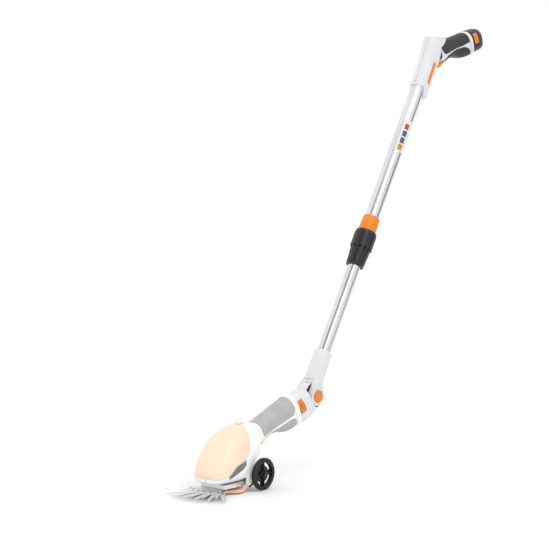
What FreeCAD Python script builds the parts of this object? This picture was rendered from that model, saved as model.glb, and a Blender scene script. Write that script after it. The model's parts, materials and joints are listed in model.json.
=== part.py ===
"""Wheeled telescopic grass shears: battery shears with a fan of combs, locked into a pole with
wheels, a tilting joint, a twist clamp and a handle with its own battery.

Frame: millimetres, +Z up, front of the tool towards -Y, origin on the ground midway between the
wheels and under their axle.  Four local frames carry the sloping assemblies:
  HEAD    the row frame itself
  GRIP    the shears' handle: Y runs back along its straight top line, Z is square to it
  POLE    Z runs up the pole from the tilting joint, Y points to the pole's rear underside
  HANDLE  the pole's own handle: Y runs back along its straight top line
"""
import FreeCAD, Part
import math
import os
import Sketcher

V = FreeCAD.Vector

DIMENSIONS = {
    # wheels
    "wheel_radius": 30, "wheel_width": 11, "wheel_inner_face": 42, "axle_radius": 3, "bore_gap": 0.05,
    # cutting combs
    "comb_pivot_y": -60, "comb_reach": 107, "comb_root": 62, "comb_thickness": 2, "comb_pitch": 14.2,
    "sole_bottom": 3, "lower_comb_z": 8, "upper_comb_z": 10.15, "plate_bottom": 12.6, "plate_top": 20,
    "pivot_radius": 4,
    # drive train
    "gear_module": 0.8, "gear_teeth": 36, "pinion_teeth": 12, "gear_z": 26.5, "gear_height": 6,
    "crank_throw": 3.4, "crank_reach": 30, "motor_radius": 14, "motor_length": 42,
    # shells
    "wall": 2.5, "grip_depth": 2, "grip_proud": 0.5,
    # the shears' handle
    "grip_tilt": 21.3, "grip_y": 21.8, "grip_z": 116.9, "grip_length": 112, "grip_height": 60,
    # tilting joint, placed along and below the shears' handle top line
    "joint_along": 173.3, "joint_drop": 35.2, "knuckle_radius": 27, "knuckle_width": 20,
    "ear_radius": 19, "ear_width": 10, "joint_pin_radius": 4, "button_radius": 12,
    # pole
    "pole_tilt": 58.74, "pole_offset": 5, "lower_tube_radius": 13.15, "upper_tube_radius": 15,
    "tube_wall": 1.2, "socket_end": 92, "sleeve_start": 282.5, "sleeve_end": 360, "ring_end": 393.5,
    "lower_tube_end": 560, "upper_tube_start": 302, "upper_tube_end": 785,
    # pole handle
    "handle_tilt": 15.3, "handle_s": 830.7, "handle_back": 15.9, "handle_length": 91, "handle_height": 50,
    "cap_height": 859, "battery_cap": 47, "trigger_width": 12,
}

doc = FreeCAD.newDocument("grass_shears")
sheet = doc.addObject("Spreadsheet::Sheet", "dims")
for row, (alias, number) in enumerate(DIMENSIONS.items(), start=1):
    sheet.set(f"A{row}", alias)
    sheet.set(f"B{row}", str(number))
    sheet.setAlias(f"B{row}", alias)
doc.recompute()


class Size:
    """A length that knows its value and the sheet expression that keeps it bound."""

    def __init__(self, value, text):
        self.value = float(value)
        self.text = text

    def joined(self, other, sign, value):
        return Size(value, f"({self.text} {sign} {size(other).text})")

    def __add__(self, other):
        return self.joined(other, "+", self.value + size(other).value)

    def __sub__(self, other):
        return self.joined(other, "-", self.value - size(other).value)

    def __mul__(self, other):
        return self.joined(other, "*", self.value * size(other).value)

    def __neg__(self):
        return self * -1

    def __float__(self):
        return self.value


def size(number):
    return number if isinstance(number, Size) else Size(number, repr(float(number)))


def dim(alias):
    return Size(sheet.get(alias), f"dims.{alias}")


def vec(x, y, z):
    return V(float(x), float(y), float(z))


def turn(axis, degrees, at=V(0, 0, 0)):
    return FreeCAD.Placement(at, FreeCAD.Rotation(axis, float(degrees)))


def shift(x, y, z):
    return FreeCAD.Placement(vec(x, y, z), FreeCAD.Rotation())


X_AXIS, Y_AXIS, Z_AXIS = V(1, 0, 0), V(0, 1, 0), V(0, 0, 1)
HEAD = FreeCAD.Placement()
GRIP = turn(X_AXIS, dim("grip_tilt"), vec(0, dim("grip_y"), dim("grip_z")))
JOINT = GRIP * shift(0, dim("joint_along"), -dim("joint_drop"))
POLE_TILT = FreeCAD.Rotation(X_AXIS, float(dim("pole_tilt")) - 90)
POLE = FreeCAD.Placement(JOINT.Base, POLE_TILT) * shift(0, -dim("pole_offset"), 0)
HANDLE_BASE = POLE * vec(0, dim("handle_back"), dim("handle_s"))
HANDLE = turn(X_AXIS, dim("handle_tilt"), HANDLE_BASE)
ALONG_X = turn(Y_AXIS, 90)            # takes a piece drawn along Z and lays it along X


# ---------------------------------------------------------------- building helpers

def bind(piece, name, value):
    piece.setExpression(name, size(value).text)


def cylinder(name, radius, length, place=HEAD, along_x=False):
    """Cylinder centred on its frame, along the frame's Z or, laid over, along X."""
    piece = doc.addObject("Part::Cylinder", name)
    bind(piece, "Radius", radius)
    bind(piece, "Height", length)
    middle = shift(0, 0, -float(length) / 2)
    piece.Placement = place * (ALONG_X * middle if along_x else middle)
    return piece


def tube(name, outer, inner, start, end, place):
    """Round tube along the frame's Z from start to end."""
    middle = shift(0, 0, (float(start) + float(end)) / 2)
    length = size(end) - start
    solid = cylinder(name + "_solid", outer, length, place * middle)
    hole = cylinder(name + "_hole", inner, length + 2, place * middle)
    return cut(name, solid, hole)


def box(name, low, high, place=HEAD):
    """Box between two corners of the frame."""
    piece = doc.addObject("Part::Box", name)
    for side, a, b in zip(("Length", "Width", "Height"), low, high):
        bind(piece, side, size(b) - a)
    piece.Placement = place * shift(*low)
    return piece


def cut(name, base, *tools):
    tool = tools[0] if len(tools) == 1 else fuse(name + "_tools", *tools)
    piece = doc.addObject("Part::Cut", name)
    piece.Base, piece.Tool = base, tool
    return piece


def fuse(name, *pieces):
    piece = doc.addObject("Part::MultiFuse", name)
    piece.Shapes = list(pieces)
    piece.Refine = True
    return piece


def common(name, *pieces):
    piece = doc.addObject("Part::MultiCommon", name)
    piece.Shapes = list(pieces)
    return piece


def rounded(name, base, radius, wanted):
    """Fillet the edges of a primitive or boolean for which wanted(edge) holds."""
    doc.recompute()
    piece = doc.addObject("Part::Fillet", name)
    piece.Base = base
    edges = enumerate(base.Shape.Edges, start=1)
    piece.Edges = [(index, float(radius), float(radius)) for index, edge in edges if wanted(edge)]
    return piece


def feature(name, shape):
    piece = doc.addObject("Part::Feature", name)
    piece.Shape = shape
    return piece


def plane(body, role):
    return next(item for item in body.Origin.OriginFeatures if item.Role == role)


def outline(body, name, role, points):
    """Closed sketch of straight runs whose corners are bound to the sheet."""
    sketch = body.newObject("Sketcher::SketchObject", name)
    sketch.AttachmentSupport = (plane(body, role), [""])
    sketch.MapMode = "FlatFace"
    corners = [(size(a), size(b)) for a, b in points]
    count = len(corners)
    for index in range(count):
        (ax, ay), (bx, by) = corners[index], corners[(index + 1) % count]
        sketch.addGeometry(Part.LineSegment(vec(ax, ay, 0), vec(bx, by, 0)), False)
    for index in range(count):
        sketch.addConstraint(Sketcher.Constraint("Coincident", index, 2, (index + 1) % count, 1))
    for index, corner in enumerate(corners):
        for kind, own_axis, place in (("DistanceX", -2, corner[0]), ("DistanceY", -1, corner[1])):
            if abs(place.value) < 1e-9:
                sketch.addConstraint(Sketcher.Constraint("PointOnObject", index, 1, own_axis))
                continue
            ends = (-1, 1, index, 1) if place.value > 0 else (index, 1, -1, 1)
            number = sketch.addConstraint(Sketcher.Constraint(kind, *ends, abs(place.value)))
            if "dims." in place.text:
                bound = place if place.value > 0 else -place
                sketch.setExpression(f"Constraints[{number}]", bound.text)
    return sketch


def plate(name, points, width, place=HEAD, role="YZ_Plane"):
    """Flat piece: an outline padded equally to both sides of its plane."""
    body = doc.addObject("PartDesign::Body", name)
    pad = body.newObject("PartDesign::Pad", name + "_pad")
    pad.Profile = outline(body, name + "_sketch", role, points)
    pad.SideType = 2
    bind(pad, "Length", width)
    body.Placement = place
    return body


def turned(name, points, place=HEAD):
    """Turned piece: a half outline (radius, height) revolved about the frame's Z."""
    body = doc.addObject("PartDesign::Body", name)
    spin = body.newObject("PartDesign::Revolution", name + "_turn")
    spin.Profile = outline(body, name + "_sketch", "XZ_Plane", points)
    spin.ReferenceAxis = (plane(body, "Z_Axis"), [""])
    body.Placement = place
    return body


def section(at, half_width, low, high, along_z=False):
    """Closed smooth section: boxy below, rounder above, from a superellipse formula."""
    points, count = [], 24
    waist = low + (high - low) * 0.42
    for index in range(count):
        angle = 2 * math.pi * (index + 0.5) / count
        across, up = math.cos(angle), math.sin(angle)
        power = 2 / 2.5 if up > 0 or along_z else 2 / 3.4
        x = half_width * math.copysign(abs(across) ** power, across)
        reach = high - waist if up > 0 else waist - low
        z = waist + math.copysign(reach * abs(up) ** power, up)
        points.append(V(x, z, at) if along_z else V(x, at, z))
    curve = Part.BSplineCurve()
    curve.interpolate(points, PeriodicFlag=True)
    return Part.Wire([curve.toShape()])


def loft(sections, place, along_z=False):
    shape = Part.makeLoft([section(*row, along_z=along_z) for row in sections], True, False)
    shape.Placement = place
    return shape


def prism(points, half_width, place=HEAD):
    """Straight-sided solid from a side view outline, reaching half_width to both sides."""
    corners = [vec(-float(half_width), a, b) for a, b in points]
    face = Part.Face(Part.makePolygon(corners + corners[:1]))
    solid = face.extrude(V(2 * float(half_width), 0, 0))
    solid.Placement = place
    return solid


def rod(radius, length, place):
    """Plain cylinder shape along X, centred on its frame."""
    return Part.makeCylinder(float(radius), float(length), V(-float(length) / 2, 0, 0), X_AXIS).transformed(
        place.Matrix)


def block(low, high, place=HEAD):
    shape = Part.makeBox(*[float(b) - float(a) for a, b in zip(low, high)], vec(*low))
    return shape.transformed(place.Matrix)


def halves(name, shape):
    """Split a casing at the middle plane into its left (-X) and right (+X) shells."""
    far = 2000
    for side, low, high in (("_left", -far, 0), ("_right", 0, far)):
        half = shape.common(block((low, -far, -far), (high, far, far)))
        feature(name + side, max(half.Solids, key=lambda solid: solid.Volume))


# ---------------------------------------------------------------- wheels and axle

def wheels():
    radius, hub = dim("wheel_radius"), dim("wheel_width") * 0.5
    bore = dim("axle_radius") + dim("bore_gap")
    tyre_inner, hub_radius, web = radius - 7.5, size(7), size(1.5)
    half = [
        (bore, -hub), (hub_radius, -hub), (hub_radius, -web), (tyre_inner, -web),
        (tyre_inner, -hub), (radius - 2, -hub), (radius, -hub + 2), (radius, hub - 2),
        (radius - 2, hub), (tyre_inner, hub), (tyre_inner, web), (hub_radius, web),
        (hub_radius, hub), (bore, hub),
    ]
    offset = float(dim("wheel_inner_face")) + float(hub)
    slots = 4
    for side, name in ((-1, "wheel_left"), (1, "wheel_right")):
        place = shift(side * offset, 0, radius) * ALONG_X
        wheel = turned(name, half, place)
        doc.recompute()
        slot = wheel.newObject("PartDesign::Pocket", name + "_slot")
        slot.Profile = arc_slot(wheel, name + "_slot_sketch", 15.8, 21.8, 62)
        slot.SideType = 2
        slot.Type = 1
        doc.recompute()
        ring = wheel.newObject("PartDesign::PolarPattern", name + "_slots")
        ring.Originals = [slot]
        ring.Axis = (plane(wheel, "Z_Axis"), [""])
        ring.Angle = 360
        ring.Occurrences = slots
        wheel.Tip = ring


def arc_slot(body, name, inner, outer, sweep):
    """Sketch of a ring segment of the XY plane, centred halfway between the X and Y axes."""
    sketch = body.newObject("Sketcher::SketchObject", name)
    sketch.AttachmentSupport = (plane(body, "XY_Plane"), [""])
    sketch.MapMode = "FlatFace"
    start, end = (math.radians(45 + side * sweep / 2) for side in (-1, 1))
    ends = [[V(r * math.cos(a), r * math.sin(a), 0) for a in (start, end)] for r in (inner, outer)]
    for r in (inner, outer):
        circle = Part.Circle(V(0, 0, 0), Z_AXIS, r)
        sketch.addGeometry(Part.ArcOfCircle(circle, start, end), False)
    for side in (0, 1):
        sketch.addGeometry(Part.LineSegment(ends[0][side], ends[1][side]), False)
    return sketch


def axle_and_caps():
    reach = dim("wheel_inner_face") + dim("wheel_width")
    centre = shift(0, 0, dim("wheel_radius"))
    cylinder("axle", dim("axle_radius"), reach * 2, centre, along_x=True)
    caps = []
    for side in (-1, 1):
        at = shift(side * float(reach + 0.9), 0, dim("wheel_radius"))
        caps.append(rounded(f"axle_cap_{side}", cylinder(f"axle_cap_disc_{side}", 5.2, 1.8, at, True), 0.8,
                            lambda edge: abs(edge.CenterOfMass.x) > float(reach) + 1))
    fuse("axle_caps", *caps)


# ---------------------------------------------------------------- cutting combs and sole

def comb(name, level, fingers, tip_half, root_half, reach, crank_reach):
    """One comb: a sector plate about the pivot with tapering fingers in front."""
    body = doc.addObject("PartDesign::Body", name)
    body.Placement = shift(0, dim("comb_pivot_y"), level)
    thickness, root = dim("comb_thickness"), dim("comb_root")
    spread = dim("comb_pitch") * (fingers - 1)
    sector = body.newObject("PartDesign::AdditiveCylinder", name + "_sector")
    bind(sector, "Radius", root)
    bind(sector, "Height", thickness)
    bind(sector, "Angle", spread + 8)
    sector.Placement = turn(Z_AXIS, -90 - (float(spread) + 8) / 2)
    hub = body.newObject("PartDesign::AdditiveCylinder", name + "_hub")
    hub.Radius = 15
    bind(hub, "Height", thickness)
    doc.recompute()
    if crank_reach:
        tail = crank_reach + 4
        neck = body.newObject("PartDesign::Pad", name + "_tail")
        neck.Profile = outline(body, name + "_tail_sketch", "XY_Plane",
                               [(-9, 0), (9, 0), (9, tail), (5, tail + 6), (-5, tail + 6), (-9, tail)])
        bind(neck, "Length", thickness)
    start = -90 - float(spread) / 2
    finger = body.newObject("PartDesign::Pad", name + "_finger")
    corners = [(float(root) - 3, -root_half), (float(reach) - 5, -tip_half), (float(reach), -tip_half * 0.4),
               (float(reach), tip_half * 0.4), (float(reach) - 5, tip_half), (float(root) - 3, root_half)]
    angle = math.radians(start)
    turned_corners = [(x * math.cos(angle) - y * math.sin(angle), x * math.sin(angle) + y * math.cos(angle))
                      for x, y in corners]
    finger.Profile = outline(body, name + "_finger_sketch", "XY_Plane", turned_corners)
    bind(finger, "Length", thickness)
    doc.recompute()
    fan = body.newObject("PartDesign::PolarPattern", name + "_fan")
    fan.Originals = [finger]
    fan.Axis = (plane(body, "Z_Axis"), [""])
    bind(fan, "Angle", spread)
    fan.Occurrences = fingers
    body.Tip = fan
    doc.recompute()
    bore = body.newObject("PartDesign::SubtractiveCylinder", name + "_bore")
    bind(bore, "Radius", dim("pivot_radius") + (dim("bore_gap") if crank_reach else 0))
    bind(bore, "Height", thickness)
    if crank_reach:
        doc.recompute()
        slot = body.newObject("PartDesign::Pocket", name + "_slot")
        slot.Profile = outline(body, name + "_slot_sketch", "XY_Plane",
                               [(-2.6, crank_reach - 6), (2.6, crank_reach - 6), (2.6, crank_reach + 6),
                                (-2.6, crank_reach + 6)])
        slot.Type = 1
        slot.SideType = 2
    return body


def combs():
    comb("lower_blade", dim("lower_comb_z"), 7, 2.2, 4.6, dim("comb_reach"), None)
    comb("upper_blade", dim("upper_comb_z"), 6, 1.8, 4.2, dim("comb_reach") - 4, dim("crank_reach"))
    pivot = dim("comb_pivot_y")
    place = shift(0, pivot, 0)
    turned("blade_pivot", [(0, 5), (7, 5), (8, 6), (8, 8), (dim("pivot_radius"), 8),
                           (dim("pivot_radius"), dim("plate_top")), (0, dim("plate_top"))], place)


def sole():
    """Plastic shoe under the combs that slides on the ground and carries the blade set."""
    bottom, top = dim("sole_bottom"), dim("lower_comb_z")
    side = plate("sole_side_view", [(-99, bottom + 1), (-96, bottom), (-44, bottom), (-38, bottom + 3),
                                    (-34, 14), (-37, 15.5), (-44, top), (-99, top)], 84)
    plan = plate("sole_plan_view", [(-20, -99), (20, -99), (24, -72), (38, -60), (38, -34), (-38, -34),
                                    (-38, -60), (-24, -72)], 60, role="XY_Plane")
    well = cylinder("sole_pivot_well", 8.4, 20, shift(0, dim("comb_pivot_y"), 0))
    blade_room = box("sole_blade_room", (-34.5, -60, top), (34.5, -20, 40))
    cut("sole_plate", common("sole_form", side, plan), well, blade_room)


# ---------------------------------------------------------------- drive train

def gear_outline(teeth, thin):
    """Spur gear outline: involute flanks as short runs, thinned a little for backlash."""
    module, pressure = float(dim("gear_module")), math.radians(20)
    pitch = module * teeth / 2
    base, tip, root = pitch * math.cos(pressure), pitch + 0.9 * module, pitch - 1.2 * module
    involute = math.tan(pressure) - pressure
    half = math.pi / (2 * teeth) - thin / pitch

    def flank(radius):
        if radius <= base:
            return half + involute
        roll = math.acos(base / radius)
        return half + involute - (math.tan(roll) - roll)

    radii = [root] + [max(base, root + 0.1) + (tip - max(base, root + 0.1)) * k / 4 for k in range(5)]
    points = []
    for tooth in range(teeth):
        middle = 2 * math.pi * tooth / teeth
        rising = [(r, middle - flank(r)) for r in radii]
        falling = [(r, middle + flank(r)) for r in reversed(radii)]
        points += [V(r * math.cos(a), r * math.sin(a), 0) for r, a in rising + falling]
    return Part.Face(Part.makePolygon(points + points[:1]))


def drive_train():
    module, teeth, pinion_teeth = dim("gear_module"), dim("gear_teeth"), dim("pinion_teeth")
    gear_y = float(dim("comb_pivot_y")) + float(dim("crank_reach"))
    centre_gap = float(module) * (float(teeth) + float(pinion_teeth)) / 2
    level, height = float(dim("gear_z")), float(dim("gear_height"))
    thin = 0.06
    gear = gear_outline(int(float(teeth)), thin).extrude(V(0, 0, height))
    throw, pin = float(dim("crank_throw")), 2.4
    hub_low = float(dim("upper_comb_z")) + float(dim("comb_thickness")) + 0.35
    gear = gear.fuse(Part.makeCylinder(pin, level - hub_low, V(0, throw, hub_low - level)))
    gear = gear.cut(Part.makeCylinder(2.05, 40, V(0, 0, 1.5)))
    feature("drive_gear", gear).Placement = shift(0, gear_y, level)
    cylinder("gear_axle", 2, 14, shift(0, gear_y, level + 1.5 + 7 + 0.05))
    motor_y = gear_y - centre_gap
    # the pinion is turned by half a tooth pitch so that a gap faces the gear's tooth
    pinion = gear_outline(int(float(pinion_teeth)), thin).extrude(V(0, 0, height + 2))
    pinion = pinion.fuse(Part.makeCylinder(2, 8, V(0, 0, height + 2)))
    half_pitch = 180 / float(pinion_teeth)
    feature("motor_pinion", pinion).Placement = shift(0, motor_y, level) * turn(Z_AXIS, half_pitch)
    can = cylinder("motor_can", dim("motor_radius"), dim("motor_length"),
                   shift(0, motor_y, level + height + 10 + float(dim("motor_length")) / 2))
    nose = cylinder("motor_nose", 5, 3, shift(0, motor_y, level + height + 8.5 + 0.2))
    shaft_hole = cylinder("motor_shaft_hole", 2.05, 30, shift(0, motor_y, level + height + 8))
    cut("motor", fuse("motor_form", can, nose), shaft_hole)
    # the plate between the combs and the gear, with room for the crank pin's circle
    plan = plate("gear_plate_plan", [(-28, -88), (28, -88), (33, -60), (28, -16), (-28, -16), (-33, -60)],
                 80, role="XY_Plane")
    slab = box("gear_plate_slab", (-60, -120, dim("plate_bottom")), (60, 40, dim("plate_top")))
    crank_room = cylinder("gear_plate_crank_room", throw + pin + 1, 60, shift(0, gear_y, 20))
    pivot_hole = cylinder("gear_plate_pivot_hole", dim("pivot_radius"), 60, shift(0, dim("comb_pivot_y"), 20))
    cut("gear_plate", common("gear_plate_form", slab, plan), crank_room, pivot_hole)
    return gear_y


# ---------------------------------------------------------------- shears' casing

HEAD_SECTIONS = [
    # y, half width, underside, top: front nose to the back under the handle
    (-106, 22, 24.5, 41), (-102, 30.5, 22, 52), (-91.5, 37, 20.6, 74), (-76, 40.5, 20.2, 94),
    (-54, 42.5, 20, 111.5), (-30, 41, 20, 119), (-13, 37.5, 24, 121), (5, 31, 43, 121), (20, 23, 56, 117),
    (32, 14, 68, 108),
]


def head_form(inset):
    """The shears' body as a smooth solid, shrunk by the inset."""
    rows = [(y + inset * (0.9 if index == 0 else 0), w - inset, low + inset, high - inset)
            for index, (y, w, low, high) in enumerate(HEAD_SECTIONS)]
    return loft(rows, HEAD)


SHEARS_BELLY = [
    # y, half width, part of the full height, drop of the top line: front to back along the handle
    (-16, 20, 0.64, 1), (15, 19, 0.64, 0), (40, 18.5, 0.71, 0), (63, 20, 0.9, 0), (84, 21.5, 1, 0.5),
    (float(dim("grip_length")) - 4, 22, 1, 0.8), (float(dim("grip_length")), 22, 1, 1),
]
HANDLE_BELLY = [
    (-24, 19, 0.75, 1), (12, 18.6, 0.77, 0), (35, 18.5, 0.84, 0), (54, 19.5, 0.97, 0), (70, 20.5, 1, 0.3),
    (float(dim("handle_length")) - 4, 21.5, 0.98, 0.5), (float(dim("handle_length")), 21.5, 0.97, 0.6),
]


def handle_form(inset, belly, height, place, end=0):
    """A handle with a straight top line and a belly below, its last section moved back by end."""
    rows = [(y, w - inset, -height * depth + inset, -drop - inset) for y, w, depth, drop in belly]
    rows[-1] = (rows[-1][0] + end, *rows[-1][1:])
    return loft(rows, place)


PIN_LEVEL, PIN_LENGTH = -35.5, 26      # a trigger's pin in its handle's frame


def trigger(name, tip, place):
    """Finger lever: hooked tip in front, pivot at its back end."""
    top = -31
    body = plate(name + "_lever", [(tip, top), (tip, -47), (tip + 2, -51), (tip + 8, -50), (tip + 20, -46),
                                   (tip + 38, -41.5), (tip + 41, -38), (tip + 41, top)],
                 dim("trigger_width"), place)
    hole = cylinder(name + "_hole", 2.05, 40, place * shift(0, tip + 37, PIN_LEVEL), along_x=True)
    cut(name, body, hole)
    cylinder(name + "_pin", 2, PIN_LENGTH, place * shift(0, tip + 37, PIN_LEVEL), along_x=True)


def trigger_room(tip, place):
    half = float(dim("trigger_width")) / 2 + 0.5
    return block((-half, tip - 2, -80), (half, tip + 43, -25.4), place)


def screw_posts(posts, form):
    """Posts across a casing, kept inside its outer form."""
    return [rod(4.5, 2 * reach - 1.6, place).common(form) for place, reach in posts]


def screw(place, reach):
    """Screw let in from the left (-X) flank, its thread held in the right half's post."""
    shaft = rod(2, reach, place * shift(4 - reach / 2, 0, 0))
    return shaft.fuse(rod(3.4, 2.5, place * shift(2.75 - reach, 0, 0)))


def screw_bore(place, reach):
    """The room a screw needs in the casing, open to the left."""
    shaft = rod(2, reach, place * shift(4 - reach / 2, 0, 0))
    return shaft.fuse(rod(3.4, 40, place * shift(4 - reach - 20, 0, 0)))


def shears_casing(gear_y):
    wall, depth, proud = (float(dim(name)) for name in ("wall", "grip_depth", "grip_proud"))
    length, height = float(dim("grip_length")), float(dim("grip_height"))
    tip = -3
    head = head_form(0)
    handle = handle_form(0, SHEARS_BELLY, height, GRIP)
    collar_zone = prism([(length - 11, 20), (length, 20), (length, -90), (length - 11, -90)], 60, GRIP)
    collar = handle_form(-1.2, SHEARS_BELLY, height, GRIP).common(collar_zone)
    hollow = head_form(wall).fuse(handle_form(wall, SHEARS_BELLY, height, GRIP, end=3))
    shell = head.fuse([handle, collar]).cut(hollow)
    # peach cover: everything above a line that runs from the nose up and round to the top
    cover_view = prism([(-140, 29), (-100, 33), (-88, 37), (-64, 57), (-42, 64), (-33, 73), (-28.5, 83),
                        (-27, 95), (-12, 140), (-140, 140)], 80)
    cover = head.cut(head_form(wall)).common(cover_view)
    slider_y, slider_top = -16, 121.4
    slider_room = block((-6.5, slider_y - 4.5, 108), (6.5, slider_y + 9.5, 140))
    cover = cover.cut(slider_room)
    feature("shears_cover", cover)
    plate("lock_slider", [(slider_y - 4, 113.5), (slider_y + 4, 113.5), (slider_y + 4, slider_top),
                                        (slider_y + 2, slider_top + 1), (slider_y - 2, slider_top + 1),
                                        (slider_y - 4, slider_top)], 12)
    # soft grips laid into the casing
    stop = length - 12
    upper_view = [(2, 8), (stop, 8), (stop, -24), (stop - 3, -29), (stop - 9, -32), (32, -30), (4, -29)]
    lower_view = [(15, -35), (stop - 14, -37.5), (stop - 6, -40), (stop - 3, -46), (stop - 4, -68), (15, -68)]
    skin = handle_form(-proud, SHEARS_BELLY, height, GRIP).cut(handle_form(depth, SHEARS_BELLY, height, GRIP))
    skin = skin.cut(head_form(0))
    grip_upper = skin.common(prism(upper_view, 60, GRIP))
    pin = rod(2, PIN_LENGTH, GRIP * shift(0, tip + 37, PIN_LEVEL))
    grip_lower = skin.common(prism(lower_view, 60, GRIP)).cut([trigger_room(tip, GRIP), pin])
    feature("shears_grip_upper", grip_upper)
    feature("shears_grip_lower", grip_lower)
    # name plates, let into both flanks below the cover's edge
    badge_view = prism([(-84.5, 36.5), (-65, 54), (-42, 61.5), (-41.5, 53), (-50, 46), (-82, 31.5)], 80)
    badges = head_form(-0.5).cut(head_form(1)).common(badge_view)
    halves("badge", badges)
    shell = shell.cut([cover_view, grip_upper, grip_lower, badges, slider_room, trigger_room(tip, GRIP)])
    # screw posts right across the casing, then the screws let in from the left
    posts = [(shift(0, -86, 29), 34), (shift(0, 10, 104), 24.3), (shift(0, 13, 72), 23.5)]
    shell = shell.fuse(screw_posts(posts, head))
    feature("shears_screws", Part.makeCompound([screw(*post) for post in posts]))
    bores = [screw_bore(*post) for post in posts]
    crank_room = Part.makeCylinder(7, 40, V(0, gear_y, 0))
    pivot_room = Part.makeCylinder(4.2, 30, V(0, float(dim("comb_pivot_y")), 0))
    below_plate = block((-80, -200, -10), (80, 200, float(dim("plate_top"))))
    axle_room = rod(float(dim("axle_radius")) + 0.5, 200, shift(0, 0, dim("wheel_radius")))
    shell = shell.cut(bores + [crank_room, pivot_room, below_plate, pin, axle_room])
    halves("shears_housing", shell)
    trigger("shears_trigger", tip, GRIP)
    box("shears_switch", (-7, 2, -22), (7, 24, -8), GRIP)


def axle_bracket():
    """Saddle under the shears' rear that clips to the housing and carries the axle."""
    form = prism([(-36, 14), (-32, 12.6), (-20, 13), (0, 20), (9, 26), (12, 38), (12, 52), (2, 60), (-36, 40)],
                 39.5)
    bosses = rod(8, 2 * (float(dim("wheel_inner_face")) - 0.5), shift(0, 0, dim("wheel_radius")))
    shape = form.fuse(bosses)
    shape = shape.cut([head_form(0), rod(dim("axle_radius"), 200, shift(0, 0, dim("wheel_radius"))),
                       block((-50, -80, 0), (50, -33, 80)),
                       block((-34, -80, 0), (34, -14, 60))])
    keep = max(shape.Solids, key=lambda solid: solid.Volume)
    feature("axle_bracket", keep)


# ---------------------------------------------------------------- adapter and tilting joint

def adapter():
    length, height = float(dim("grip_length")), float(dim("grip_height"))
    along, drop = float(dim("joint_along")), float(dim("joint_drop"))
    wall = float(dim("wall"))
    barrel_rows = [(length + 0.4, 21, -62, -5), (length + 6, 22, -64, -5.5), (along - 25, 22, -65, -7),
                   (along + 6, 20.5, -64, -9)]
    barrel = loft(barrel_rows, GRIP)
    clear = 20.6
    ear_zone = prism([(-clear, 0), (-clear, 60), (70, 60), (70, -71), (42, -71), (-14.6, -14.6)], 60, JOINT)
    ear_zone = ear_zone.fuse(rod(clear, 120, JOINT))
    half = float(dim("knuckle_width")) / 2
    ear_zone = ear_zone.cut(block((-half, -400, -400), (half, 400, 400)))
    knuckle = rod(dim("knuckle_radius"), 2 * half, JOINT)
    # the middle is open past the joint and above it, so that the socket's fork can swing up
    past_joint = prism([(0, -90), (0, -20), (-24, 12), (-24, 90), (90, 90), (90, -90)], half + 1, JOINT)
    barrel = barrel.cut(past_joint.common(block((-half, -400, -400), (half, 400, 400))))
    shape = barrel.fuse(knuckle).cut(ear_zone)
    shape = shape.cut(rod(dim("joint_pin_radius"), 100, JOINT))
    plug = handle_form(wall + 0.3, SHEARS_BELLY, height, GRIP, end=3)
    plug = plug.common(block((-60, 48, -90), (60, length + 0.4, 20), GRIP))
    shape = shape.fuse(plug)
    # pockets for the two latch buttons, open to the sides
    button_low, button_high = (length + 1.6, -40), (length + 15.5, -16)
    room = [block((side * 21 - 9, button_low[0] - 0.4, button_low[1] - 0.4),
                  (side * 21 + 9, button_high[0] + 0.4, button_high[1] + 0.4), GRIP) for side in (-1, 1)]
    shape = shape.cut(room)
    feature("adapter_body", shape)
    for side, name in ((-1, "adapter_latch_left"), (1, "adapter_latch_right")):
        bound = loft([(y, w + 1.6, low, high) for y, w, low, high in barrel_rows], GRIP)
        near, far = (14.5, 40) if side > 0 else (-40, -14.5)
        button = bound.common(block((near, button_low[0], button_low[1]), (far, button_high[0], button_high[1]),
                                    GRIP))
        feature(name, button)


def tilting_joint():
    pin = dim("joint_pin_radius")
    half_knuckle = dim("knuckle_width") * 0.5
    gap = 0.35
    outer = half_knuckle + gap + dim("ear_width")
    cylinder("joint_pin", pin - dim("bore_gap"), outer * 2 - 9, JOINT, along_x=True)
    frame = FreeCAD.Placement(JOINT.Base, POLE_TILT)
    offset = -float(dim("pole_offset"))
    ear_r, clear = float(dim("ear_radius")), float(dim("knuckle_radius")) + 0.5
    socket_end = float(dim("socket_end"))
    cone = Part.makeCone(18.6, 17.4, socket_end - clear, V(0, offset, clear), Z_AXIS)
    cone = cone.makeFillet(2.5, [edge for edge in cone.Edges if edge.BoundBox.ZMin > socket_end - 0.01])
    ears = Part.makeCylinder(ear_r, 2 * float(outer), V(-float(outer), 0, 0), X_AXIS)
    top = clear + 6
    web = prism([(-ear_r, 0), (ear_r, 0), (offset + 18.6, top), (-ear_r, top)], outer, FreeCAD.Placement())
    web = web.common(Part.makeCone(30, 19, top, V(0, offset, 0), Z_AXIS))
    form = ears.fuse([web, cone])
    form = form.cut(Part.makeCylinder(clear, 2 * float(half_knuckle) + 2 * gap,
                                      V(-float(half_knuckle) - gap, 0, 0), X_AXIS))
    form = form.cut(Part.makeCylinder(float(dim("lower_tube_radius")), 400, V(0, offset, clear + 6), Z_AXIS))
    form = form.cut(Part.makeCylinder(float(pin), 200, V(-100, 0, 0), X_AXIS))
    button_r = float(dim("button_radius"))
    seat = [Part.makeCylinder(button_r + 0.3, 10, V(side * (float(outer) - 4.6) - (10 if side < 0 else 0), 0, 0),
                              X_AXIS) for side in (-1, 1)]
    form = form.cut(seat)
    form.Placement = frame
    halves("socket", form)
    for side, name in ((-1, "tilt_button_left"), (1, "tilt_button_right")):
        middle = side * (float(outer) + 1.2)
        disc = cylinder(name + "_disc", dim("button_radius"), 5.4, frame * shift(middle, 0, 0), along_x=True)
        rounded(name, disc, 1.6, lambda edge, x=middle, s=side: (edge.CenterOfMass.x - x) * s > 1)


# ---------------------------------------------------------------- pole

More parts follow.
